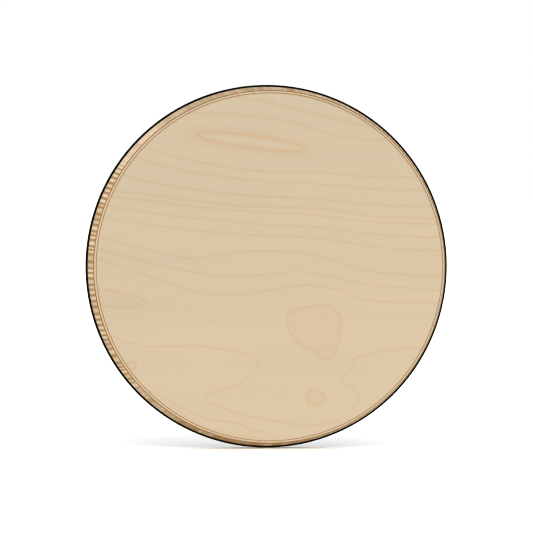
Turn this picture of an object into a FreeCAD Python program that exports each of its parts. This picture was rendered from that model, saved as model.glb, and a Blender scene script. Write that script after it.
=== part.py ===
"""A shallow bass drum with a plywood playing face on a reeded wooden hoop.

The drum stands on its edge. Y runs from the playing face (front, -Y) to the back panel
(+Y), Z is up, and the origin is on the floor under the middle of the drum. Each piece is
turned or cut about the drum's own axis, which is parallel to Y, and is then lifted so that
the rubber rim touches Z = 0. Depths are measured backwards from the playing face.
All sizes are in millimetres.
"""

import FreeCAD
import Part

import math
import os

# ---------------------------------------------------------------- driving dimensions
DRUM_DIAMETER = 457.0  # over the rubber rim, the nominal 18 inch size
RIM_STANDOFF = 2.4  # rubber rim beyond the back edge of the hoop
HOOP_FLARE = 4.1  # the hoop's radius grows this much from front to back
HOOP_DEPTH = 38.0  # length of the reeded hoop along the axis
REED_COUNT = 200
REED_HEIGHT = 1.1

FACE_PLY = 1.0  # face veneer
CROSS_PLY = 1.2  # crossband under it
BACKING_PLY = 1.8  # backing veneer
JOINT_RING = 1.2  # dark hardwood ring between the playing face and the hoop
FACE_EDGE_RADIUS = 1.5  # softened corner between the face and its bevel

INNER_PLY = 3.0  # thin ply that closes the reeded hoop on the inside
HOOP_INNER_RADIUS = 212.0
LINING_WIDTH = 12.0
FRONT_LINING_DEPTH = 12.0
LINING_BLOCKS = 24  # the front lining is glued in as short curved blocks
LINING_BLOCK_GAP = 0.5  # degrees between two blocks
REAR_LINING_WIDTH = 14.0
REAR_LINING_DEPTH = 14.0

RUBBER_LIP = 1.0
RUBBER_CORNER = 1.0
REAR_LIP_WIDTH = 9.5
PANEL_THICKNESS = 5.0
PANEL_CLEARANCE = 2.5  # rubber web outside the panel

PORT_RADIUS = 60.0
PORT_WALL = 3.0
PORT_FLANGE_WIDTH = 11.0
PORT_FLANGE_THICKNESS = 2.5
PORT_MOUTH_RADIUS = 2.0
PORT_LENGTH = 12.0
LOCK_RING_WIDTH = 10.0
LOCK_RING_DEPTH = 4.0

SCREW_COUNT = 16
SCREW_RADIUS = 2.0  # M4
SCREW_HEAD_RADIUS = 3.8
SCREW_LENGTH = 16.0
SCREW_HOLE_RADIUS = 2.2
SOCKET_ACROSS_FLATS = 2.5
SOCKET_DEPTH = 1.2
CUP_RADIUS = 5.0
CUP_DEPTH = 2.0
INSERT_RADIUS = 3.0
INSERT_LENGTH = 10.0
INSERT_HOLE_LENGTH = 11.0

BRACE_OFFSET = 110.0
BRACE_WIDTH = 12.0
BRACE_HEIGHT = 14.0
BRACE_END_GAP = 3.0
BRACE_TIP_LENGTH = 45.0
BRACE_TIP_HEIGHT = 4.0

SPLICE_THICKNESS = 6.0
SPLICE_ANGLE = 16.0  # degrees of hoop that the splice block covers
SPLICE_GAP = 0.5  # clear of each lining

# ---------------------------------------------------------------- sizes that follow
RIM_RADIUS = DRUM_DIAMETER / 2
HOOP_BACK_RADIUS = RIM_RADIUS - RIM_STANDOFF
HOOP_FRONT_RADIUS = HOOP_BACK_RADIUS - HOOP_FLARE

CROSS_FRONT = FACE_PLY
BACKING_FRONT = CROSS_FRONT + CROSS_PLY
JOINT_FRONT = BACKING_FRONT + BACKING_PLY
HOOP_FRONT = JOINT_FRONT + JOINT_RING
HOOP_BACK = HOOP_FRONT + HOOP_DEPTH
PANEL_FRONT = HOOP_BACK + RUBBER_LIP
PANEL_BACK = PANEL_FRONT + PANEL_THICKNESS
DRUM_DEPTH = PANEL_BACK + RUBBER_LIP

LINING_RADIUS = HOOP_INNER_RADIUS - LINING_WIDTH
REAR_LINING_RADIUS = HOOP_INNER_RADIUS - REAR_LINING_WIDTH
REAR_LINING_FRONT = HOOP_BACK - REAR_LINING_DEPTH
REEDED_INNER_RADIUS = HOOP_INNER_RADIUS + INNER_PLY
PANEL_RADIUS = RIM_RADIUS - PANEL_CLEARANCE
SCREW_CIRCLE_RADIUS = (REAR_LINING_RADIUS + HOOP_INNER_RADIUS) / 2

PORT_OUTER_RADIUS = PORT_RADIUS + PORT_WALL
PORT_FLANGE_RADIUS = PORT_OUTER_RADIUS + PORT_FLANGE_WIDTH
PORT_FLANGE_FRONT = DRUM_DEPTH - PORT_FLANGE_THICKNESS
PORT_FRONT = DRUM_DEPTH - PORT_LENGTH

AXIS = FreeCAD.Vector(0, 1, 0)
LIFT = FreeCAD.Vector(0, 0, RIM_RADIUS)


def along(depth):
    """The Y coordinate of a depth behind the playing face."""
    return depth - DRUM_DEPTH / 2


def point(radius, depth):
    """A point of a turned section, before it is revolved about the drum's axis."""
    return FreeCAD.Vector(radius, along(depth), 0)


def turned(edges):
    """A solid of revolution about the drum's axis, from the edges of its section."""
    return Part.Face(Part.Wire(edges)).revolve(FreeCAD.Vector(), AXIS, 360)


def turned_polygon(corners):
    """A solid of revolution from the (radius, depth) corners of its section."""
    points = [point(radius, depth) for radius, depth in corners]
    points.append(points[0])
    return turned(Part.makePolygon(points).Edges)


def rod(radius, start, end):
    """A cylinder on the drum's axis between two depths."""
    base = FreeCAD.Vector(0, along(start), 0)
    return Part.makeCylinder(radius, end - start, base, AXIS)


def tube(inner, outer, start, end):
    """A plain ring on the drum's axis between two depths."""
    return rod(outer, start, end).cut(rod(inner, start, end))


def bevel_radius(depth):
    """The radius of the 45 degree bevel round the playing face, at a depth."""
    return HOOP_FRONT_RADIUS - (HOOP_FRONT - depth)


# ---------------------------------------------------------------- playing face
def face_veneer():
    """The face veneer, with a softened corner between its flat and its bevel."""
    setback = FACE_EDGE_RADIUS * math.tan(math.radians(22.5))
    drop = setback * math.sin(math.radians(45))
    corner = bevel_radius(0)
    flat_end = point(corner - setback, 0)
    bevel_start = point(corner + drop, drop)
    sag = FACE_EDGE_RADIUS * (1 - math.cos(math.radians(22.5)))
    run = FACE_EDGE_RADIUS * math.sin(math.radians(22.5))
    middle = point(corner - setback + run, sag)
    bevel_end = point(bevel_radius(FACE_PLY), FACE_PLY)
    back_centre = point(0, FACE_PLY)
    front_centre = point(0, 0)
    return turned(
        [
            Part.makeLine(front_centre, flat_end),
            Part.Arc(flat_end, middle, bevel_start).toShape(),
            Part.makeLine(bevel_start, bevel_end),
            Part.makeLine(bevel_end, back_centre),
            Part.makeLine(back_centre, front_centre),
        ]
    )


def bevelled_ply(start, end):
    """A full disc of ply whose edge follows the bevel."""
    corners = [(0, start), (bevel_radius(start), start), (bevel_radius(end), end), (0, end)]
    return turned_polygon(corners)


def joint_ring():
    """The dark hardwood ring that joins the playing face to the hoop and its lining."""
    return turned_polygon(
        [
            (LINING_RADIUS, JOINT_FRONT),
            (bevel_radius(JOINT_FRONT), JOINT_FRONT),
            (HOOP_FRONT_RADIUS, HOOP_FRONT),
            (LINING_RADIUS, HOOP_FRONT),
        ]
    )


# ---------------------------------------------------------------- hoop and linings
def reeded_outline(radius, depth):
    """A closed outline of half-round reeds whose crests lie on a circle."""
    pitch = 2 * math.pi / REED_COUNT
    valley = radius - REED_HEIGHT

    def at(distance, angle):
        return FreeCAD.Vector(distance * math.cos(angle), along(depth), distance * math.sin(angle))

    arcs = []
    for reed in range(REED_COUNT):
        start = reed * pitch
        crest = at(radius, start + pitch / 2)
        arcs.append(Part.Arc(at(valley, start), crest, at(valley, start + pitch)).toShape())
    return Part.Wire(arcs)


def reeded_hoop():
    """The flared hoop, reeded along the axis on the outside and turned smooth inside."""
    front = reeded_outline(HOOP_FRONT_RADIUS, HOOP_FRONT)
    back = reeded_outline(HOOP_BACK_RADIUS, HOOP_BACK)
    blank = Part.makeLoft([front, back], True, True)
    return blank.cut(rod(REEDED_INNER_RADIUS, HOOP_FRONT - 1, HOOP_BACK + 1))


def inner_ply():
    """The thin bent ply that lines the reeded hoop."""
    return tube(HOOP_INNER_RADIUS, REEDED_INNER_RADIUS, HOOP_FRONT, HOOP_BACK)


def front_lining():
    """The glue lining behind the playing face: short blocks, each bevelled at its inner back corner."""
    back = HOOP_FRONT + FRONT_LINING_DEPTH
    bevel = LINING_WIDTH / 2
    section = Part.makePolygon(
        [
            point(LINING_RADIUS, HOOP_FRONT),
            point(HOOP_INNER_RADIUS, HOOP_FRONT),
            point(HOOP_INNER_RADIUS, back),
            point(LINING_RADIUS + bevel, back),
            point(LINING_RADIUS, back - bevel),
            point(LINING_RADIUS, HOOP_FRONT),
        ]
    )
    pitch = 360 / LINING_BLOCKS
    block = Part.Face(section).revolve(FreeCAD.Vector(), AXIS, pitch - LINING_BLOCK_GAP)
    blocks = []
    for position in range(LINING_BLOCKS):
        copy = block.copy()
        copy.rotate(FreeCAD.Vector(), AXIS, position * pitch)
        blocks.append(copy)
    return Part.makeCompound(blocks)


def rear_lining():
    """The screw lining at the back of the hoop, bored for the threaded inserts."""
    ring = tube(REAR_LINING_RADIUS, HOOP_INNER_RADIUS, REAR_LINING_FRONT, HOOP_BACK)
    holes = on_screw_circle(rod(INSERT_RADIUS, HOOP_BACK - INSERT_HOLE_LENGTH, HOOP_BACK))
    return ring.cut(holes)


def splice_block():
    """A curved block glued inside the hoop, between the linings, over its butt joint."""
    start = HOOP_FRONT + FRONT_LINING_DEPTH + SPLICE_GAP
    end = REAR_LINING_FRONT - SPLICE_GAP
    section = Part.makePolygon(
        [
            point(HOOP_INNER_RADIUS - SPLICE_THICKNESS, start),
            point(HOOP_INNER_RADIUS, start),
            point(HOOP_INNER_RADIUS, end),
            point(HOOP_INNER_RADIUS - SPLICE_THICKNESS, end),
            point(HOOP_INNER_RADIUS - SPLICE_THICKNESS, start),
        ]
    )
    block = Part.Face(section).revolve(FreeCAD.Vector(), AXIS, SPLICE_ANGLE)
    # the section starts on +X: this turn centres the block under the drum's axis
    block.rotate(FreeCAD.Vector(), AXIS, 90 - SPLICE_ANGLE / 2)
    return block


# ---------------------------------------------------------------- back panel and fixings
def on_screw_circle(piece):
    """Copies of a piece made on the axis, one at each screw position."""
    copies = []
    for index in range(SCREW_COUNT):
        angle = 2 * math.pi * (index + 0.5) / SCREW_COUNT
        place = FreeCAD.Vector(math.cos(angle), 0, math.sin(angle)) * SCREW_CIRCLE_RADIUS
        copy = piece.copy()
        copy.translate(place)
        copies.append(copy)
    return Part.makeCompound(copies)


def countersunk_cone():
    """The cone of a countersunk head, flush with the back of the panel."""
    height = SCREW_HEAD_RADIUS - SCREW_RADIUS
    base = FreeCAD.Vector(0, along(PANEL_BACK - height), 0)
    return Part.makeCone(SCREW_RADIUS, SCREW_HEAD_RADIUS, height, base, AXIS)


def panel_screw():
    """A countersunk machine screw with a hexagon socket."""
    shank = rod(SCREW_RADIUS, PANEL_BACK - SCREW_LENGTH, PANEL_BACK - 1)
    corner = SOCKET_ACROSS_FLATS / 2 / math.cos(math.radians(30))
    depth = PANEL_BACK - SOCKET_DEPTH
    corners = []
    for side in range(7):
        angle = math.radians(60 * side)
        corners.append(
            FreeCAD.Vector(corner * math.cos(angle), along(depth), corner * math.sin(angle))
        )
    socket = Part.Face(Part.makePolygon(corners)).extrude(AXIS * (2 * SOCKET_DEPTH))
    return shank.fuse(countersunk_cone()).removeSplitter().cut(socket)


def cup_washer():
    """A flush cup washer, turned to take the screw head."""
    blank = rod(CUP_RADIUS, PANEL_BACK - CUP_DEPTH, PANEL_BACK)
    bore = rod(SCREW_RADIUS, PANEL_BACK - CUP_DEPTH, PANEL_BACK)
    return blank.cut(bore).cut(countersunk_cone())


def threaded_insert():
    """A brass threaded insert, bored to the screw's size."""
    return tube(SCREW_RADIUS, INSERT_RADIUS, HOOP_BACK - INSERT_LENGTH, HOOP_BACK)


def back_panel():
    """The back panel, with its port hole, the rebate for the port's flange and screw holes."""
    disc = rod(PANEL_RADIUS, PANEL_FRONT, PANEL_BACK)
    port_hole = rod(PORT_OUTER_RADIUS, PANEL_FRONT, PANEL_BACK)
    rebate = rod(PORT_FLANGE_RADIUS, PORT_FLANGE_FRONT, PANEL_BACK)
    holes = on_screw_circle(rod(SCREW_HOLE_RADIUS, PANEL_FRONT, PANEL_BACK))
    cups = on_screw_circle(rod(CUP_RADIUS, PANEL_BACK - CUP_DEPTH, PANEL_BACK))
    return disc.cut([port_hole, rebate]).cut(holes).cut(cups)


def rubber_rim():
    """The rubber channel round the panel; its front lip is the gasket against the hoop."""
    round_in = RUBBER_CORNER * (1 - math.cos(math.radians(45)))
    front_flat = point(RIM_RADIUS - RUBBER_CORNER, HOOP_BACK)
    front_middle = point(RIM_RADIUS - round_in, HOOP_BACK + round_in)
    front_side = point(RIM_RADIUS, HOOP_BACK + RUBBER_CORNER)
    back_side = point(RIM_RADIUS, DRUM_DEPTH - RUBBER_CORNER)
    back_middle = point(RIM_RADIUS - round_in, DRUM_DEPTH - round_in)
    back_flat = point(RIM_RADIUS - RUBBER_CORNER, DRUM_DEPTH)
    inside = [
        back_flat,
        point(RIM_RADIUS - REAR_LIP_WIDTH, DRUM_DEPTH),
        point(RIM_RADIUS - REAR_LIP_WIDTH, PANEL_BACK),
        point(PANEL_RADIUS, PANEL_BACK),
        point(PANEL_RADIUS, PANEL_FRONT),
        point(REAR_LINING_RADIUS, PANEL_FRONT),
        point(REAR_LINING_RADIUS, HOOP_BACK),
        front_flat,
    ]
    edges = [
        Part.Arc(front_flat, front_middle, front_side).toShape(),
        Part.makeLine(front_side, back_side),
        Part.Arc(back_side, back_middle, back_flat).toShape(),
    ]
    edges += Part.makePolygon(inside).Edges
    holes = on_screw_circle(rod(SCREW_HOLE_RADIUS, HOOP_BACK, PANEL_FRONT))
    return turned(edges).cut(holes)


def port_ring():
    """The moulded sound port: a short tube, a flange let into the panel, a rounded mouth."""
    round_in = PORT_MOUTH_RADIUS * (1 - math.cos(math.radians(45)))
    mouth_start = point(PORT_RADIUS, DRUM_DEPTH - PORT_MOUTH_RADIUS)
    mouth_middle = point(PORT_RADIUS + round_in, DRUM_DEPTH - round_in)
    mouth_end = point(PORT_RADIUS + PORT_MOUTH_RADIUS, DRUM_DEPTH)
    outside = [
        mouth_end,
        point(PORT_FLANGE_RADIUS, DRUM_DEPTH),
        point(PORT_FLANGE_RADIUS, PORT_FLANGE_FRONT),
        point(PORT_OUTER_RADIUS, PORT_FLANGE_FRONT),
        point(PORT_OUTER_RADIUS, PORT_FRONT),
        point(PORT_RADIUS, PORT_FRONT),
        mouth_start,
    ]
    edges = [Part.Arc(mouth_start, mouth_middle, mouth_end).toShape()]
    edges += Part.makePolygon(outside).Edges
    return turned(edges)


def port_lock_ring():
    """The ring that locks the port from inside the drum."""
    outer = PORT_OUTER_RADIUS + LOCK_RING_WIDTH
    return tube(PORT_OUTER_RADIUS, outer, PANEL_FRONT - LOCK_RING_DEPTH, PANEL_FRONT)


def back_brace(offset):
    """An upright brace glued to the inside of the back panel, thinned towards its ends."""
    outermost = abs(offset) + BRACE_WIDTH / 2
    half = math.sqrt(REAR_LINING_RADIUS**2 - outermost**2) - BRACE_END_GAP
    back = along(PANEL_FRONT)
    tall = back - BRACE_HEIGHT
    low = back - BRACE_TIP_HEIGHT
    left = offset - BRACE_WIDTH / 2
    outline = [
        FreeCAD.Vector(left, back, -half),
        FreeCAD.Vector(left, low, -half),
        FreeCAD.Vector(left, tall, -half + BRACE_TIP_LENGTH),
        FreeCAD.Vector(left, tall, half - BRACE_TIP_LENGTH),
        FreeCAD.Vector(left, low, half),
        FreeCAD.Vector(left, back, half),
        FreeCAD.Vector(left, back, -half),
    ]
    return Part.Face(Part.makePolygon(outline)).extrude(FreeCAD.Vector(BRACE_WIDTH, 0, 0))


# ---------------------------------------------------------------- the whole drum
def pieces():
    """Every piece of the drum by name, each made about the drum's own axis."""
    return {
        "face_veneer": face_veneer(),
        "crossband_veneer": bevelled_ply(CROSS_FRONT, BACKING_FRONT),
        "backing_veneer": bevelled_ply(BACKING_FRONT, JOINT_FRONT),
        "joint_ring": joint_ring(),
        "reeded_hoop": reeded_hoop(),
        "inner_ply": inner_ply(),
        "front_lining": front_lining(),
        "rear_lining": rear_lining(),
        "splice_block": splice_block(),
        "threaded_inserts": on_screw_circle(threaded_insert()),
        "rubber_rim": rubber_rim(),
        "back_panel": back_panel(),
        "cup_washers": on_screw_circle(cup_washer()),
        "panel_screws": on_screw_circle(panel_screw()),
        "port_ring": port_ring(),
        "port_lock_ring": port_lock_ring(),
        "left_back_brace": back_brace(-BRACE_OFFSET),
        "right_back_brace": back_brace(BRACE_OFFSET),
    }


def main():
    """Writes one STEP file for each piece and prints its volume."""
    os.makedirs("parts", exist_ok=True)
    for name, shape in pieces().items():
        shape.translate(LIFT)
        shape.exportStep(f"parts/{name}.step")
        print(f"{name}: {len(shape.Solids)} solids, {shape.Volume / 1000:.1f} cm3, valid {shape.isValid()}")


main()
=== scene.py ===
"""Dresses a shallow bass drum: a figured birch playing face on a reeded wooden hoop.

The drum stands on its edge on the floor. Its playing face looks along -Y, +X is on the right of
someone who looks at that face, and +Z is up. Lengths are in metres unless a name says otherwise.
"""

import logging
import math
from dataclasses import dataclass
from enum import Enum

import bpy
import numpy as np
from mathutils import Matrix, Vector


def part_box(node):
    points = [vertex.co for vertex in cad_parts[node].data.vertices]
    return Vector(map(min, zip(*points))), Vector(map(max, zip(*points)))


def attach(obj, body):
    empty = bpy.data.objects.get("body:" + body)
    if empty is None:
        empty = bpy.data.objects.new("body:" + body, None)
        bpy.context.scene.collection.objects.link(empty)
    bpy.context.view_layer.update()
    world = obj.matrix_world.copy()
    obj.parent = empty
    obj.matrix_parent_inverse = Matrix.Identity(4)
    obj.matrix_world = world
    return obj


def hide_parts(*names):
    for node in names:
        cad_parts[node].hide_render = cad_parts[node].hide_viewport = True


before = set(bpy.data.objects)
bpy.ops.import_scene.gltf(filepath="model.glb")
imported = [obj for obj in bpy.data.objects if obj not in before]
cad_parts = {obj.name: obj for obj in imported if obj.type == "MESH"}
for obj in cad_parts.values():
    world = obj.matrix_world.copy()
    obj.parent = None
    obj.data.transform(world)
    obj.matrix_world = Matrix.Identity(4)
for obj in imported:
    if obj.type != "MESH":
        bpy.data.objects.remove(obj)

log = logging.getLogger("bass_drum")

Colour = tuple[float, float, float]
Socket = bpy.types.NodeSocket
Value = Socket | float

MM = 0.001


def half_width(node: str) -> float:
    """Gives the outer radius of a turned piece."""
    low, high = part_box(node)
    return (high.x - low.x) / 2


DRUM_RADIUS = half_width("rubber_rim")
DRUM_CENTRE = Vector((0, 0, DRUM_RADIUS))


class GrainRun(Enum):
    """Which way the fibres of a wooden piece run."""

    ACROSS = "level, from side to side"
    UPRIGHT = "up and down"
    ROUND = "bent round the hoop"
    AXIAL = "from front to back"


# ------------------------------------------------------------------ joining shader nodes
class NodeSheet:
    """Lays out the nodes of one finish and joins them."""

    def __init__(self, name: str) -> None:
        """Starts an empty sheet.

        Args:
            name: what the material is called.
        """
        self.material = bpy.data.materials.new(name)
        self.material.use_nodes = True
        self.tree = self.material.node_tree
        self.tree.nodes.clear()
        self.place = self.node("ShaderNodeTexCoord").outputs["Object"]

    def node(self, kind: str, **settings: object) -> bpy.types.Node:
        """Adds one node.

        Args:
            kind: the node's type.
            settings: properties to set on it.

        Returns:
            The new node.
        """
        made = self.tree.nodes.new(kind)
        made.location = (180 * (len(self.tree.nodes) % 40), -200 * (len(self.tree.nodes) // 40))
        for name, setting in settings.items():
            setattr(made, name, setting)
        return made

    def feed(self, socket: Socket, value: Value | Colour) -> None:
        """Joins a socket to another, or sets its value.

        Args:
            socket: the input to fill.
            value: an output socket, a number or a colour.
        """
        if isinstance(value, bpy.types.NodeSocket):
            self.tree.links.new(value, socket)
        elif isinstance(value, tuple) and len(value) == 3 and socket.type == "RGBA":
            socket.default_value = (*value, 1.0)
        else:
            socket.default_value = value

    def math(self, operation: str, *values: Value, clamp: bool = False) -> Socket:
        """Works out one sum.

        Args:
            operation: the math node's operation.
            values: its inputs, in order.
            clamp: whether the result is kept between 0 and 1.

        Returns:
            The result.
        """
        made = self.node("ShaderNodeMath", operation=operation, use_clamp=clamp)
        for socket, value in zip(made.inputs, values):
            self.feed(socket, value)
        return made.outputs[0]

    def smooth(self, value: Value, low: Value, high: Value, at_low: float, at_high: float) -> Socket:
        """Eases from one number to another as a value passes from low to high.

        Args:
            value: the value that is read.
            low: where the change starts.
            high: where it ends.
            at_low: the result at low and below.
            at_high: the result at high and above.

        Returns:
            The eased number.
        """
        made = self.node("ShaderNodeMapRange", interpolation_type="SMOOTHSTEP")
        for socket, given in zip(made.inputs, (value, low, high, at_low, at_high)):
            self.feed(socket, given)
        return made.outputs[0]

    def noise(self, place: Socket, scale: float = 1.0, detail: float = 3.0, rough: float = 0.55) -> Socket:
        """Gives soft noise around one half.

        Args:
            place: the coordinates.
            scale: how many features there are to a unit of the coordinates.
            detail: the number of finer layers.
            rough: the weight of the finer layers.

        Returns:
            The noise.
        """
        made = self.node("ShaderNodeTexNoise")
        for name, value in (("Vector", place), ("Scale", scale), ("Detail", detail), ("Roughness", rough)):
            self.feed(made.inputs[name], value)
        return made.outputs[0]

    def split(self, place: Socket) -> tuple[Socket, Socket, Socket]:
        """Gives the three parts of a vector."""
        made = self.node("ShaderNodeSeparateXYZ")
        self.feed(made.inputs[0], place)
        return made.outputs[0], made.outputs[1], made.outputs[2]

    def length(self, x: Value, y: Value) -> Socket:
        """Gives the length of a vector of two parts."""
        made = self.node("ShaderNodeVectorMath", operation="LENGTH")
        self.feed(made.inputs[0], self.join(x, y, 0.0))
        return made.outputs["Value"]

    def join(self, x: Value, y: Value, z: Value) -> Socket:
        """Makes a vector of three parts."""
        made = self.node("ShaderNodeCombineXYZ")
        for socket, value in zip(made.inputs, (x, y, z)):
            self.feed(socket, value)
        return made.outputs[0]

    def blend(self, factor: Value, first: Value | Colour, second: Value | Colour, how: str = "MIX") -> Socket:
        """Mixes two colours.

        Args:
            factor: 0 for the first colour, 1 for the second.
            first: a colour or a colour socket.
            second: a colour or a colour socket.
            how: the blend type.

        Returns:
            The mixed colour.
        """
        made = self.node("ShaderNodeMix", data_type="RGBA", blend_type=how)
        self.feed(made.inputs["Factor"], factor)
        for socket, colour in zip([s for s in made.inputs if s.type == "RGBA"], (first, second)):
            self.feed(socket, colour)
        return next(s for s in made.outputs if s.type == "RGBA")

    def relief(self, height: Socket, depth: float) -> Socket:
        """Turns a height into a bumped normal.

        Args:
            height: the height, from 0 to 1.
            depth: what a height of 1 stands for, in metres.

        Returns:
            The normal.
        """
        made = self.node("ShaderNodeBump")
        made.inputs["Strength"].default_value = 1.0
        made.inputs["Distance"].default_value = depth
        self.feed(made.inputs["Height"], height)
        return made.outputs[0]

    def surface(self, **inputs: Value | Colour) -> bpy.types.Material:
        """Ends the sheet with one shader.

        Args:
            inputs: the shader's sockets, with _ for a space in their names.

        Returns:
            The finished material.
        """
        shader = self.node("ShaderNodeBsdfPrincipled")
        for name, value in inputs.items():
            self.feed(shader.inputs[name.replace("_", " ")], value)
        output = self.node("ShaderNodeOutputMaterial")
        self.tree.links.new(shader.outputs[0], output.inputs[0])
        return self.material


# ------------------------------------------------------------------ wood finishes
@dataclass(frozen=True)
class Timber:
    """Plain lacquered wood with fine streaks along its fibres."""

    name: str
    pale: Colour
    dark: Colour
    run: GrainRun
    streak_length: float = 45 * MM
    streak_width: float = 0.9 * MM
    roughness: float = 0.48
    relief: float = 0.04 * MM

    def fibres(self, sheet: NodeSheet) -> Socket:
        """Gives coordinates that are long along the fibres and short across them.

        Args:
            sheet: where the nodes go.

        Returns:
            Coordinates of one streak to a unit.
        """
        x, y, z = sheet.split(sheet.place)
        z = sheet.math("SUBTRACT", z, DRUM_CENTRE.z)
        along, across, through = {
            GrainRun.ACROSS: (x, z, y),
            GrainRun.UPRIGHT: (z, x, y),
            GrainRun.AXIAL: (y, x, z),
            GrainRun.ROUND: (None, y, None),
        }[self.run]
        if self.run is GrainRun.ROUND:
            turn = sheet.math("ARCTAN2", z, x)
            along = sheet.math("MULTIPLY", turn, DRUM_RADIUS)
            through = sheet.length(x, z)
        return sheet.join(
            sheet.math("DIVIDE", along, self.streak_length),
            sheet.math("DIVIDE", across, self.streak_width),
            sheet.math("DIVIDE", through, self.streak_width),
        )

    def material(self) -> bpy.types.Material:
        """Makes the finish."""
        sheet = NodeSheet(self.name)
        streaks = sheet.noise(self.fibres(sheet), 1.0, 4.0, 0.6)
        clouds = sheet.noise(sheet.place, 9.0, 2.0)
        tone = sheet.math("ADD", sheet.math("MULTIPLY", streaks, 0.75), sheet.math("MULTIPLY", clouds, 0.25))
        tone = sheet.smooth(tone, 0.32, 0.68, 0.0, 1.0)
        return sheet.surface(
            Base_Color=sheet.blend(tone, self.dark, self.pale),
            Roughness=sheet.smooth(streaks, 0.3, 0.7, self.roughness + 0.06, self.roughness - 0.04),
            Specular_IOR_Level=0.2,
            Normal=sheet.relief(streaks, self.relief),
        )


@dataclass(frozen=True)
class GrainLine:
    """One latewood line of the figure, as heights at even stations, in millimetres from the centre."""

    start: float
    step: float
    heights: tuple[float, ...]
    upright: bool = False
    half_width: float = 1.15

    @property
    def end(self) -> float:
        """Gives the last station."""
        return self.start + self.step * (len(self.heights) - 1)


@dataclass(frozen=True)
class GrainIsland:
    """A closed latewood line, as radii at even turns about its middle, in millimetres.

    Its inside is stained by the share fill, and a stain of the share glow fades out on both
    sides of the line.
    """

    middle: tuple[float, float]
    radii: tuple[float, ...]
    stretch: float = 1.0
    tilt: float = 0.0
    half_width: float = 1.35
    fill: float = 0.6
    glow: float = 0.2
    reach: float = 5.0


FIGURE_LINES = (
    GrainLine(-33, 33, (212, 206, 198, 190, 182, 175, 168)),
    GrainLine(-98, 33, (193, 193, 191, 186, 180, 168, 162, 159, 157, 156)),
    GrainLine(-260, 65, (196, 166, 142, 127, 119, 118, 113, 113, 112)),
    GrainLine(-260, 65, (166, 146, 126, 114, 107, 104, 98, 96, 95)),
    GrainLine(-260, 65, (134, 117, 103, 93, 88, 85, 78, 76, 76)),
    GrainLine(-260, 65, (106, 96, 88, 79, 75, 73, 64, 61, 60)),
    GrainLine(-260, 65, (97, 88, 80, 73, 68, 64, 56, 54, 55)),
    GrainLine(-260, 65, (86, 75, 65, 59, 53, 49, 41, 37, 36)),
    GrainLine(-260, 65, (68, 59, 50, 43, 39, 35, 25, 21, 18)),
    GrainLine(-231, 33, (43, 34, 25, 17, 11, 15, 19, 20, 18, 12, 0, -6, -10, -11, -13)),
    GrainLine(-231, 33, (26, 18, 9, 1, -6, -11, -11, -9, -6, -10, -18, -24, -26, -29, -32)),
    GrainLine(-231, 33, (15, 5, -6, -19, -30, -34, -35, -30, -24, -24, -34, -43, -44, -45, -47)),
    GrainLine(-231, 33, (-74, -87, -98, -100, -99, -102, -109), half_width=1.35),
    GrainLine(-150, 7, (-46, -34, -26, -17, -15, -20, -33), upright=True, half_width=1.4),
    GrainLine(-70, 8, (-157, -154, -151, -149), half_width=1.4),
    GrainLine(-171, 3.5, (-73, -80, -82, -80, -72), upright=True, half_width=1.4),
    GrainLine(-73, 32, (-171, -184, -190, -196, -199, -194), half_width=1.35),
    GrainLine(108, 20, (-115, -109, -105, -103, -103, -103)),
    GrainLine(-178, 9, (102, 111, 111, 104, 91, 97, 103, 108), upright=True),
    GrainLine(-168, 30, (-146, -162, -178, -191, -195, -205, -217)),
    GrainLine(-81, 35, (-202, -210, -215)),
)

FIGURE_ISLANDS = (
    GrainIsland((-24, 157), (8, 8, 8, 8), 8.4, -7.7, half_width=1.9, fill=0.1, glow=1.0, reach=13.0),
    GrainIsland((-174, -123), (6, 5, 5, 6, 5, 5)),
    GrainIsland((-215, -38), (11, 11, 11, 11), stretch=5.3, tilt=-6.6, half_width=1.4),
    GrainIsland((57, -80), (31, 36, 36, 31, 33, 39, 33, 27, 25, 28, 39, 33)),
    GrainIsland((56, -164), (15, 11, 10, 10, 11, 10, 10, 10, 10, 10, 10, 11)),
)


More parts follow.
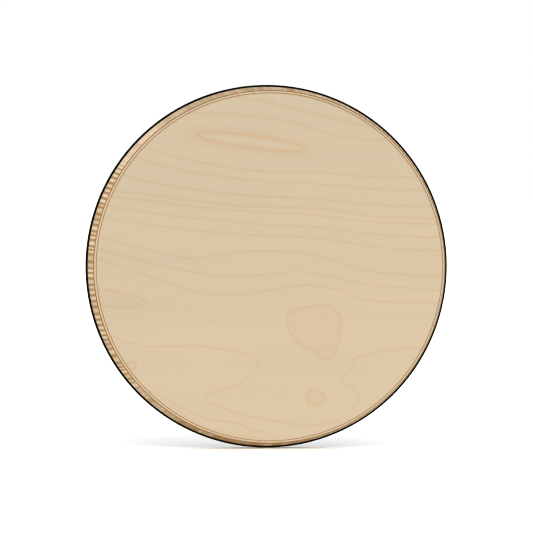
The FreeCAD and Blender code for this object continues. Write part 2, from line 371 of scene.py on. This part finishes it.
@dataclass(frozen=True)
class FiguredBirch:
    """Rotary-cut birch: level figure lines that wander, islands, and soft pink and grey bands."""

    name: str = "figured birch face"
    cool: Colour = (0.612, 0.5, 0.34)
    warm: Colour = (0.664, 0.527, 0.351)
    latewood: Colour = (0.992, 0.932, 0.875)
    halo: Colour = (0.998, 0.982, 0.965)
    stain: Colour = (0.99, 0.955, 0.915)
    fibre: Colour = (0.94, 0.915, 0.875)
    # sizes across and up, in millimetres
    wobble_size: tuple[float, float] = (22.0, 14.0)
    band_size: tuple[float, float] = (230.0, 34.0)
    fibre_size: tuple[float, float] = (9.0, 0.8)
    # how much warmer and lighter the face is coloured with each millimetre to the right and downward
    warmth_rightward: float = 0.0008
    warmth_downward: float = 0.0018
    halo_width: float = 5.0
    taper: float = 7.0
    wobble: float = 1.6
    roughness: float = 0.42

    @staticmethod
    def curve(sheet: NodeSheet, value: Value, knots: list[tuple[float, float]]) -> Socket:
        """Runs a value through a smooth curve.

        Args:
            sheet: where the nodes go.
            value: what is read, from 0 to 1.
            knots: the points that the curve passes through, from 0 to 1 both ways.

        Returns:
            The curve's height.
        """
        made = sheet.node("ShaderNodeFloatCurve")
        points = made.mapping.curves[0].points
        points[0].location = knots[0]
        points[1].location = knots[-1]
        for knot in knots[1:-1]:
            points.new(*knot)
        made.mapping.update()
        sheet.feed(made.inputs["Value"], value)
        return made.outputs[0]

    def line_distance(self, sheet: NodeSheet, line: GrainLine, x: Socket, z: Socket) -> Socket:
        """Measures how far a point is from one figure line.

        Args:
            sheet: where the nodes go.
            line: the figure line.
            x: the point's place across, in millimetres.
            z: the point's height, in millimetres.

        Returns:
            The distance as a share of the line's half width.
        """
        run, rise = (z, x) if line.upright else (x, z)
        reach = DRUM_RADIUS / MM
        last = len(line.heights) - 1
        knots = [(i / last, 0.5 + height / reach / 2) for i, height in enumerate(line.heights)]
        share = sheet.math("DIVIDE", sheet.math("SUBTRACT", run, line.start), line.end - line.start)
        height = self.curve(sheet, share, knots)
        height = sheet.math("MULTIPLY", sheet.math("SUBTRACT", height, 0.5), 2 * reach)
        gap = sheet.math("ABSOLUTE", sheet.math("SUBTRACT", rise, height))
        past = sheet.math("ABSOLUTE", sheet.math("SUBTRACT", share, 0.5))
        past = sheet.math("MAXIMUM", sheet.math("SUBTRACT", past, 0.5), 0.0)
        past = sheet.math("MULTIPLY", past, (line.end - line.start) / self.taper)
        return sheet.math("DIVIDE", sheet.math("ADD", gap, past), line.half_width)

    def island(self, sheet: NodeSheet, island: GrainIsland, x: Socket, z: Socket) -> tuple[Socket, Socket]:
        """Measures how far a point is from the outline of one island, and its stain there.

        Args:
            sheet: where the nodes go.
            island: the closed figure line.
            x: the point's place across, in millimetres.
            z: the point's height, in millimetres.

        Returns:
            The distance as a share of the line's half width, and the stain from 0 to 1.
        """
        turned = sheet.node("ShaderNodeVectorRotate", rotation_type="Z_AXIS")
        sheet.feed(turned.inputs["Vector"], sheet.join(x, z, 0.0))
        sheet.feed(turned.inputs["Center"], (*island.middle, 0.0))
        sheet.feed(turned.inputs["Angle"], math.radians(-island.tilt))
        along, across, _ = sheet.split(turned.outputs[0])
        along = sheet.math("DIVIDE", sheet.math("SUBTRACT", along, island.middle[0]), island.stretch)
        across = sheet.math("SUBTRACT", across, island.middle[1])
        radius = sheet.math("MAXIMUM", sheet.length(along, across), 0.01)
        turn = sheet.math("DIVIDE", sheet.math("ARCTAN2", across, along), 2 * math.pi)
        turn = sheet.math("FRACT", sheet.math("ADD", turn, 1.0))
        longest = max(island.radii)
        closed = (*island.radii, island.radii[0])
        knots = [(i / len(island.radii), length / longest) for i, length in enumerate(closed)]
        outline = sheet.math("MULTIPLY", self.curve(sheet, turn, knots), longest)
        beyond = sheet.math("SUBTRACT", radius, outline)
        # the stretched radius grows more slowly along the island, so its steepness is divided out
        lean = sheet.math("DIVIDE", sheet.math("DIVIDE", along, radius), island.stretch)
        steep = sheet.length(lean, sheet.math("DIVIDE", across, radius))
        beyond = sheet.math("DIVIDE", beyond, steep)
        gap = sheet.math("ABSOLUTE", beyond)
        inside = sheet.smooth(beyond, -1.0, 0.5, island.fill, 0.0)
        glow = sheet.smooth(gap, 0.0, island.reach, island.glow, 0.0)
        return sheet.math("DIVIDE", gap, island.half_width), sheet.math("MAXIMUM", inside, glow)

    def figure(self, sheet: NodeSheet, x: Socket, z: Socket) -> tuple[Socket, Socket]:
        """Measures the distance to the nearest figure line, and the stain of the islands.

        Args:
            sheet: where the nodes go.
            x: the point's place across, in millimetres.
            z: the point's height, in millimetres.

        Returns:
            The distance in half widths, and the stain from 0 to 1.
        """
        gaps = [self.line_distance(sheet, line, x, z) for line in FIGURE_LINES]
        nearest, stain = gaps[0], 0.0
        for gap in gaps[1:]:
            nearest = sheet.math("MINIMUM", nearest, gap)
        for island in FIGURE_ISLANDS:
            gap, spot = self.island(sheet, island, x, z)
            nearest, stain = sheet.math("MINIMUM", nearest, gap), sheet.math("MAXIMUM", stain, spot)
        return nearest, stain

    def material(self) -> bpy.types.Material:
        """Makes the finish."""
        sheet = NodeSheet(self.name)
        x, y, z = sheet.split(sheet.place)
        z = sheet.math("SUBTRACT", z, DRUM_CENTRE.z)
        x, z = sheet.math("DIVIDE", x, MM), sheet.math("DIVIDE", z, MM)
        wide, high = self.wobble_size
        waver = sheet.join(sheet.math("DIVIDE", x, wide), sheet.math("DIVIDE", z, high), 0.0)
        drift = sheet.noise(waver, 1.0, 3.0)
        drift = sheet.math("MULTIPLY", sheet.math("SUBTRACT", drift, 0.5), 2 * self.wobble)
        nearest, stain = self.figure(sheet, sheet.math("ADD", x, drift), sheet.math("ADD", z, drift))
        core = sheet.smooth(nearest, 0.35, 1.35, 1.0, 0.0)
        halo = sheet.smooth(nearest, 0.5, self.halo_width, 1.0, 0.0)

        wide, high = self.band_size
        broad = sheet.join(sheet.math("DIVIDE", x, wide), sheet.math("DIVIDE", z, high), 4.0)
        rightward = sheet.math("MULTIPLY", x, self.warmth_rightward)
        slope = sheet.math("SUBTRACT", rightward, sheet.math("MULTIPLY", z, self.warmth_downward))
        bands = sheet.math("ADD", sheet.noise(broad, 1.0, 2.0), slope)
        bands = sheet.smooth(bands, 0.05, 0.95, 0.0, 1.0)
        long, thin = self.fibre_size
        fine = sheet.join(sheet.math("DIVIDE", x, long), sheet.math("DIVIDE", z, thin), 0.0)
        fibres = sheet.noise(fine, 1.0, 3.0, 0.6)

        colour = sheet.blend(bands, self.cool, self.warm)
        dark_fibres = sheet.smooth(fibres, 0.3, 0.7, 0.5, 0.0)
        colour = sheet.blend(dark_fibres, colour, self.fibre, "MULTIPLY")
        colour = sheet.blend(stain, colour, self.stain, "MULTIPLY")
        colour = sheet.blend(halo, colour, self.halo, "MULTIPLY")
        colour = sheet.blend(core, colour, self.latewood, "MULTIPLY")
        return sheet.surface(
            Base_Color=colour,
            Roughness=sheet.smooth(fibres, 0.3, 0.7, self.roughness + 0.05, self.roughness - 0.03),
            Specular_IOR_Level=0.3,
            Normal=sheet.relief(fibres, 0.015 * MM),
        )


@dataclass(frozen=True)
class ReededTimber:
    """Pale lacquered wood whose reeds differ in tone and carry painted light and shade, with painted shade
    between them.
    """

    name: str = "reeded hoop wood"
    pale: Colour = (0.87, 0.70, 0.475)
    tan: Colour = (0.30, 0.15, 0.035)
    # colour of the painted shade between reeds
    valley_shade: Colour = (0.46, 0.27, 0.11)
    roughness: float = 0.6

    def material(self) -> bpy.types.Material:
        """Makes the finish, which reads each reed's tone with its painted light and shade, and the painted
        shade between reeds.
        """
        sheet = NodeSheet(self.name)
        tone = sheet.node("ShaderNodeAttribute", attribute_name=ReededHoop.TONE_AND_SHADE).outputs["Fac"]
        depth = sheet.node("ShaderNodeAttribute", attribute_name=ReededHoop.HOLLOW_SHADE).outputs["Fac"]
        x, y, z = sheet.split(sheet.place)
        z = sheet.math("SUBTRACT", z, DRUM_CENTRE.z)
        turn = sheet.math("ARCTAN2", z, x)
        fine = sheet.join(sheet.math("MULTIPLY", turn, 420.0), sheet.math("DIVIDE", y, 22 * MM), 0.0)
        streaks = sheet.noise(fine, 1.0, 3.0, 0.6)
        # reed tone: real tone from reed to reed, plus painted light and shade round the hoop, pale above
        # left, tan below
        colour = sheet.blend(tone, self.pale, self.tan)
        colour = sheet.blend(sheet.smooth(streaks, 0.3, 0.6, 0.25, 0.0), colour, self.tan)
        # painted shade between reeds, read from the mesh
        colour = sheet.blend(sheet.smooth(depth, 0.05, 0.7, 0.0, 1.0), colour, self.valley_shade)
        return sheet.surface(
            Base_Color=colour,
            Roughness=sheet.smooth(streaks, 0.3, 0.7, self.roughness + 0.03, self.roughness - 0.04),
            Specular_IOR_Level=0.03,
            Normal=sheet.relief(streaks, 0.05 * MM),
        )


# ------------------------------------------------------------------ black and metal finishes
@dataclass(frozen=True)
class SprayedBlack:
    """Black lacquer sprayed on plywood: a little orange peel, and the fibres just show."""

    name: str = "sprayed black panel"
    colour: Colour = (0.014, 0.014, 0.015)
    worn: Colour = (0.028, 0.027, 0.026)
    roughness: float = 0.42

    def material(self) -> bpy.types.Material:
        """Makes the finish."""
        sheet = NodeSheet(self.name)
        x, y, z = sheet.split(sheet.place)
        along = sheet.join(sheet.math("DIVIDE", x, 30 * MM), 0.0, sheet.math("DIVIDE", z, 0.9 * MM))
        fibres = sheet.noise(along, 1.0, 3.0)
        peel = sheet.noise(sheet.place, 900.0, 1.0)
        clouds = sheet.noise(sheet.place, 14.0, 3.0)
        height = sheet.math("ADD", sheet.math("MULTIPLY", fibres, 0.6), sheet.math("MULTIPLY", peel, 0.4))
        return sheet.surface(
            Base_Color=sheet.blend(sheet.smooth(clouds, 0.4, 0.7, 0.0, 1.0), self.colour, self.worn),
            Roughness=sheet.smooth(clouds, 0.3, 0.7, self.roughness - 0.05, self.roughness + 0.1),
            Specular_IOR_Level=0.4,
            Normal=sheet.relief(height, 0.05 * MM),
        )


@dataclass(frozen=True)
class Moulded:
    """Rubber or plastic from a mould, with a fine pebbled skin."""

    name: str
    colour: Colour
    scuffed: Colour
    roughness: float
    pebble: float = 0.5 * MM
    relief: float = 0.02 * MM
    shine: float = 0.3

    def material(self) -> bpy.types.Material:
        """Makes the finish."""
        sheet = NodeSheet(self.name)
        pebbles = sheet.node("ShaderNodeTexVoronoi", feature="SMOOTH_F1")
        sheet.feed(pebbles.inputs["Vector"], sheet.place)
        sheet.feed(pebbles.inputs["Scale"], 1 / self.pebble)
        clouds = sheet.noise(sheet.place, 40.0, 4.0, 0.65)
        return sheet.surface(
            Base_Color=sheet.blend(sheet.smooth(clouds, 0.48, 0.75, 0.0, 1.0), self.colour, self.scuffed),
            Roughness=sheet.smooth(clouds, 0.3, 0.7, self.roughness - 0.04, self.roughness + 0.08),
            Specular_IOR_Level=self.shine,
            Normal=sheet.relief(pebbles.outputs["Distance"], self.relief),
        )


@dataclass(frozen=True)
class TurnedMetal:
    """Metal from a lathe, with fine rings and a few dull patches."""

    name: str
    bright: Colour
    dull: Colour
    roughness: float
    metallic: float = 1.0

    def material(self) -> bpy.types.Material:
        """Makes the finish."""
        sheet = NodeSheet(self.name)
        rings = sheet.noise(sheet.place, 2600.0, 2.0)
        clouds = sheet.noise(sheet.place, 300.0, 3.0)
        return sheet.surface(
            Base_Color=sheet.blend(sheet.smooth(clouds, 0.4, 0.7, 0.0, 1.0), self.bright, self.dull),
            Metallic=self.metallic,
            Roughness=sheet.smooth(clouds, 0.3, 0.7, self.roughness - 0.05, self.roughness + 0.1),
            Normal=sheet.relief(rings, 0.01 * MM),
        )


def dress(node: str, finish: bpy.types.Material) -> None:
    """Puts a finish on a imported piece.

    Args:
        node: the piece's name.
        finish: the material.
    """
    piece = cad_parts[node]
    if not piece.material_slots:
        piece.data.materials.append(finish)
    for slot in piece.material_slots:
        slot.material = finish
    log.info("%s wears %s", node, finish.name)


# ------------------------------------------------------------------ the drum's sub-assemblies
@dataclass
class PlayingFace:
    """The three plies of the playing face and the dark ring that joins it to the hoop."""

    face: FiguredBirch = FiguredBirch()
    crossband: Timber = Timber(
        "brown crossband", pale=(0.46, 0.27, 0.115), dark=(0.38, 0.205, 0.08), run=GrainRun.UPRIGHT
    )
    backing: Timber = Timber(
        "birch backing", pale=(0.70, 0.55, 0.36), dark=(0.62, 0.46, 0.28), run=GrainRun.ACROSS
    )
    joint: Timber = Timber(
        "dark joint ring", pale=(0.34, 0.19, 0.075), dark=(0.27, 0.14, 0.05), run=GrainRun.ROUND
    )

    def build(self) -> None:
        """Dresses every ply of the face."""
        dress("face_veneer", self.face.material())
        dress("crossband_veneer", self.crossband.material())
        dress("backing_veneer", self.backing.material())
        dress("joint_ring", self.joint.material())


@dataclass
class ReededHoop:
    """The flared hoop, with reeds that differ a little in width, depth and tone, and painted light and shade
    round it.
    """

    TONE_AND_SHADE = "reed_tone_and_shade"
    HOLLOW_SHADE = "reed_hollow_shade"

    # painted light and shade round the hoop: the turn in degrees from +X, the tone of each reed's crest (pale
    # at the upper left, dark at the bottom) and how much painted shade darkens the hollow between reeds
    drift: tuple[tuple[float, float, float], ...] = (
        (0, 0.2, 0.8),
        (60, 0.3, 0.5),
        (90, 0.4, 0.3),
        (112, 0.5, 0.3),
        (122, 0.38, 0.2),
        (132, 0.0, 0.1),
        (143, 0.0, 0.2),
        (150, 0.13, 1.0),
        (180, 0.19, 1.0),
        (214, 0.28, 1.0),
        (226, 0.46, 0.4),
        (243, 0.76, 0.3),
        (256, 1.0, 0.15),
        (272, 1.0, 0.15),
        (300, 0.6, 0.6),
        (360, 0.2, 0.8),
    )
    tone_spread: float = 0.12
    reeds: int = 200
    points_per_reed: int = 10
    bent: Timber = Timber(
        "bent inner wood", pale=(0.66, 0.52, 0.34), dark=(0.50, 0.36, 0.21), run=GrainRun.ROUND
    )
    sawn: Timber = Timber(
        "sawn inner wood", pale=(0.62, 0.46, 0.28), dark=(0.46, 0.32, 0.18), run=GrainRun.ACROSS
    )
    valley_depth: float = 1.05 * MM
    width_spread: float = 0.24
    end_round: float = 0.35 * MM
    run_out: float = 2.5 * MM
    seed: int = 18

    def outline(self) -> tuple[np.ndarray, np.ndarray, np.ndarray, np.ndarray]:
        """Draws the reeds round the hoop.

        Returns:
            For each point round the hoop: its angle, its depth below the crest line, its painted shade in the
                valleys,
            and its reed's tone with painted light and shade by its turn round the hoop.
        """
        draw = np.random.default_rng(self.seed)
        widths = np.clip(draw.normal(1.0, self.width_spread, self.reeds), 0.5, 1.6)
        starts = np.concatenate(([0.0], np.cumsum(widths))) * 2 * math.pi / widths.sum()
        valleys = np.minimum(widths, np.roll(widths, 1))
        valleys = self.valley_depth * np.clip(valleys * draw.uniform(0.8, 1.1, self.reeds), 0.45, 1.0)
        # the second and third columns are painted light and shade: crest tone and darkening between reeds by
        # the turn
        turns, crest_shading_by_turn, hollow_shading_by_turn = np.array(self.drift).T
        middles = np.degrees(starts[:-1] + starts[1:]) / 2
        tones_and_shading = np.interp(middles, turns, crest_shading_by_turn) + draw.normal(0.0, self.tone_spread, self.reeds)
        tones_and_shading = np.clip(tones_and_shading, 0.0, 1.0)
        share = np.arange(self.points_per_reed) / self.points_per_reed
        hollow = np.abs(2 * share - 1) ** 2.4
        next_valleys = np.roll(valleys, -1)
        angles = starts[:-1, None] + (starts[1:] - starts[:-1])[:, None] * share
        depths = (valleys[:, None] * (1 - share) + next_valleys[:, None] * share) * hollow
        # painted shade between reeds, strongest at the bottom of each groove and set by the turn round the
        # hoop
        hollow_shade = np.interp(np.degrees(angles), turns, hollow_shading_by_turn) * np.abs(2 * share - 1) ** 1.5
        tone = np.broadcast_to(tones_and_shading[:, None], angles.shape)
        return angles.ravel(), depths.ravel(), hollow_shade.ravel(), tone.ravel()

    def mesh(self) -> bpy.types.Mesh:
        """Builds the closed ring between the joint ring, the rubber rim and the inner ply.

        Returns:
            The mesh, with each reed's tone with its painted light and shade, and the painted shade between
            reeds, as attributes.
        """
        low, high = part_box("reeded_hoop")
        front_radius = half_width("joint_ring")
        back_radius = half_width("reeded_hoop")
        inner_radius = half_width("inner_ply")
        angles, depths, hollow_shade, tone = self.outline()
        count = len(angles)
        length = high.y - low.y
        # each station along the hoop: its distance from the front, how far it is rounded off and
        # how deep the hollows are there
        stations = [(0.0, self.end_round, 1.0), (self.end_round, 0.0, 1.0), (length / 2, 0.0, 1.0)]
        stations += [(length - self.run_out, 0.0, 1.0), (length - self.run_out / 3, 0.0, 0.3)]
        stations += [(length - self.run_out / 8, 0.0, 0.0), (length, self.run_out / 8, 0.0)]
        radii = [front_radius + (back_radius - front_radius) * along / length for along, _, _ in stations]
        rings = [(low.y, inner_radius, 0.0, 0.0)]
        for (along, rounded, deep), radius in zip(stations, radii):
            rings.append((low.y + along, radius - rounded, deep, 1.0))
        rings.append((high.y, inner_radius, 0.0, 0.0))
        points, shade, hue_and_shading = [], [], []
        for y, radius, deep, reeded in rings:
            outer = radius - depths * deep
            place = np.stack([outer * np.cos(angles), np.full(count, y), outer * np.sin(angles)], 1)
            points.append(place + np.array(DRUM_CENTRE))
            # painted shade between reeds, only on the reeded rings
            shade.append(hollow_shade * reeded)
            hue_and_shading.append(tone)
        around = np.arange(count)
        ahead = (around + 1) % count
        faces = []
        for ring in range(len(rings)):
            here, there = ring * count, (ring + 1) % len(rings) * count
            faces.append(np.stack([here + around, here + ahead, there + ahead, there + around], 1))
        mesh = bpy.data.meshes.new("reeded_wood_hoop")
        mesh.from_pydata(np.concatenate(points).tolist(), [], np.concatenate(faces).tolist())
        # the reed tone carries painted light and shade; the other attribute is painted shade between reeds
        for name, values in ((self.TONE_AND_SHADE, hue_and_shading), (self.HOLLOW_SHADE, shade)):
            layer = mesh.attributes.new(name, "FLOAT", "POINT")
            layer.data.foreach_set("value", np.concatenate(values).astype(np.float32))
        mesh.shade_smooth()
        mesh.set_sharp_from_angle(angle=math.radians(38))
        mesh.update()
        return mesh

    def build(self) -> None:
        """Stands the hoop in its place and dresses the wood inside it."""
        hoop = bpy.data.objects.new("reeded_wood_hoop", self.mesh())
        bpy.context.scene.collection.objects.link(hoop)
        hoop.data.materials.append(ReededTimber().material())
        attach(hoop, "root")
        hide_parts("reeded_hoop")
        log.info("reeded_wood_hoop has %d faces", len(hoop.data.polygons))
        for node in ("inner_ply", "front_lining", "rear_lining"):
            dress(node, self.bent.material())
        dress("splice_block", self.sawn.material())


@dataclass
class BackPanel:
    """The black back panel with its braces, screws, washers and inserts."""

    paint: SprayedBlack = SprayedBlack()
    brace: Timber = Timber(
        "spruce brace",
        pale=(0.68, 0.52, 0.32),
        dark=(0.52, 0.36, 0.19),
        run=GrainRun.UPRIGHT,
        streak_width=1.4 * MM,
    )
    oxide: TurnedMetal = TurnedMetal("black oxide steel", (0.05, 0.05, 0.055), (0.025, 0.025, 0.027), 0.38)
    brass: TurnedMetal = TurnedMetal("turned brass", (0.78, 0.58, 0.26), (0.55, 0.38, 0.16), 0.3)

    def build(self) -> None:
        """Dresses the panel and what fastens it."""
        dress("back_panel", self.paint.material())
        braces = self.brace.material()
        dress("left_back_brace", braces)
        dress("right_back_brace", braces)
        steel = self.oxide.material()
        dress("panel_screws", steel)
        dress("cup_washers", steel)
        dress("threaded_inserts", self.brass.material())


@dataclass
class SoundPort:
    """The moulded port and the ring that locks it from inside."""

    plastic: Moulded = Moulded("port plastic", (0.018, 0.018, 0.019), (0.032, 0.031, 0.03), 0.46)

    def build(self) -> None:
        """Dresses the port."""
        finish = self.plastic.material()
        dress("port_ring", finish)
        dress("port_lock_ring", finish)


@dataclass
class RubberRim:
    """The black rubber channel round the back of the drum."""

    rubber: Moulded = Moulded(
        "black rim rubber", (0.003, 0.003, 0.003), (0.005, 0.005, 0.005), 0.8, pebble=0.8 * MM, shine=0.04
    )

    def build(self) -> None:
        """Dresses the rim."""
        dress("rubber_rim", self.rubber.material())


# ------------------------------------------------------------------ floor, light and camera
@dataclass
class Studio:
    """A plain white floor, even light with one soft light from the front left, and a long lens.

    Two more lights, from the front and the back, reach only the floor.
    """

    floor_size: float = 60.0
    floor_colour: Colour = (0.9, 0.9, 0.9)
    floor_bounce: float = 1.0
    sky: float = 0.9
    front_light: float = 0.96
    front_light_from: tuple[float, float, float] = (-0.3, -0.95, 0.0)
    front_light_angle: float = 20.0
    floor_front_light: float = 2.6
    floor_back_light: float = 1.4
    floor_light_height: float = 0.53
    floor_light_angle: float = 40.0
    lens_mm: float = 590.0
    camera_distance: float = 11.0
    camera_yaw: float = 5.3
    camera_rise: float = 1.0
    aim: tuple[float, float, float] = (-0.0006, 0.0141, 0.2283)

    def floor(self) -> bpy.types.Object:
        """Lays the floor and gives it back."""
        sheet = NodeSheet("white floor")
        mesh = bpy.data.meshes.new("studio_floor")
        half = self.floor_size / 2
        corners = [(-half, -half, 0), (half, -half, 0), (half, half, 0), (-half, half, 0)]
        mesh.from_pydata(corners, [], [(0, 1, 2, 3)])
        seen = sheet.node("ShaderNodeLightPath").outputs["Is Camera Ray"]
        glow = sheet.math("MULTIPLY", sheet.math("SUBTRACT", 1.0, seen), self.floor_bounce)
        colour = sheet.blend(seen, (0.0, 0.0, 0.0), self.floor_colour)
        mesh.materials.append(
            sheet.surface(
                Base_Color=colour,
                Emission_Color=(1.0, 1.0, 1.0),
                Emission_Strength=glow,
                Roughness=0.9,
                Specular_IOR_Level=0.0,
            )
        )
        floor = bpy.data.objects.new("studio_floor", mesh)
        bpy.context.scene.collection.objects.link(floor)
        return floor

    @staticmethod
    def sun(name: str, power: float, source: tuple[float, float, float], angle: float) -> bpy.types.Object:
        """Adds one soft, even light.

        Args:
            name: what the light is called.
            power: its strength.
            source: the direction that it comes from.
            angle: how large it looks, in degrees.

        Returns:
            The light.
        """
        light = bpy.data.lights.new(name, "SUN")
        light.energy = power
        light.angle = math.radians(angle)
        lamp = bpy.data.objects.new(name, light)
        lamp.rotation_euler = Vector(source).to_track_quat("Z", "Y").to_euler()
        bpy.context.scene.collection.objects.link(lamp)
        return lamp

    def light(self, floor: bpy.types.Object) -> None:
        """Sets the even white surroundings, the soft front light and the two floor lights.

        Args:
            floor: the floor, which the two floor lights are kept to.
        """
        scene = bpy.context.scene
        world = bpy.data.worlds.new("white surroundings")
        world.use_nodes = True
        tree = world.node_tree
        tree.nodes.clear()
        around = tree.nodes.new("ShaderNodeBackground")
        around.inputs["Strength"].default_value = self.sky
        seen = tree.nodes.new("ShaderNodeBackground")
        seen.inputs["Strength"].default_value = 1.0
        for shade in (around, seen):
            shade.inputs["Color"].default_value = (1, 1, 1, 1)
        path = tree.nodes.new("ShaderNodeLightPath")
        mixed = tree.nodes.new("ShaderNodeMixShader")
        output = tree.nodes.new("ShaderNodeOutputWorld")
        tree.links.new(path.outputs["Is Camera Ray"], mixed.inputs[0])
        tree.links.new(around.outputs[0], mixed.inputs[1])
        tree.links.new(seen.outputs[0], mixed.inputs[2])
        tree.links.new(mixed.outputs[0], output.inputs[0])
        scene.world = world
        self.sun("front", self.front_light, self.front_light_from, self.front_light_angle)
        lit = bpy.data.collections.new("lit_floor")
        lit.objects.link(floor)
        for name, power, side in (("front", self.floor_front_light, -1), ("back", self.floor_back_light, 1)):
            source = (0.0, side, self.floor_light_height)
            lamp = self.sun(f"floor_{name}", power, source, self.floor_light_angle)
            lamp.light_linking.receiver_collection = lit
        scene.view_settings.view_transform = "Standard"
        scene.cycles.filter_width = 1.1

    def camera(self) -> None:
        """Stands the camera a little to the left of the drum's axis and a little above its middle."""
        yaw, rise = math.radians(self.camera_yaw), math.radians(self.camera_rise)
        away = Vector((-math.sin(yaw) * math.cos(rise), -math.cos(yaw) * math.cos(rise), math.sin(rise)))
        lens = bpy.data.cameras.new("portrait")
        lens.lens = self.lens_mm
        lens.clip_end = 100
        camera = bpy.data.objects.new("portrait", lens)
        camera.location = Vector(self.aim) + away * self.camera_distance
        camera.rotation_euler = away.to_track_quat("Z", "Y").to_euler()
        bpy.context.scene.collection.objects.link(camera)
        bpy.context.scene.camera = camera

    def build(self) -> None:
        """Sets up the whole studio."""
        self.light(self.floor())
        self.camera()
        log.info("the studio is set")


def main() -> None:
    """Builds the drum's sub-assemblies in order, then the studio."""
    logging.basicConfig(level=logging.INFO, format="%(name)s: %(message)s")
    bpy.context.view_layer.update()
    for part in (PlayingFace(), ReededHoop(), BackPanel(), SoundPort(), RubberRim()):
        part.build()
        log.info("%s is built", type(part).__name__)
    Studio().build()


if __name__ == "__main__":
    main()
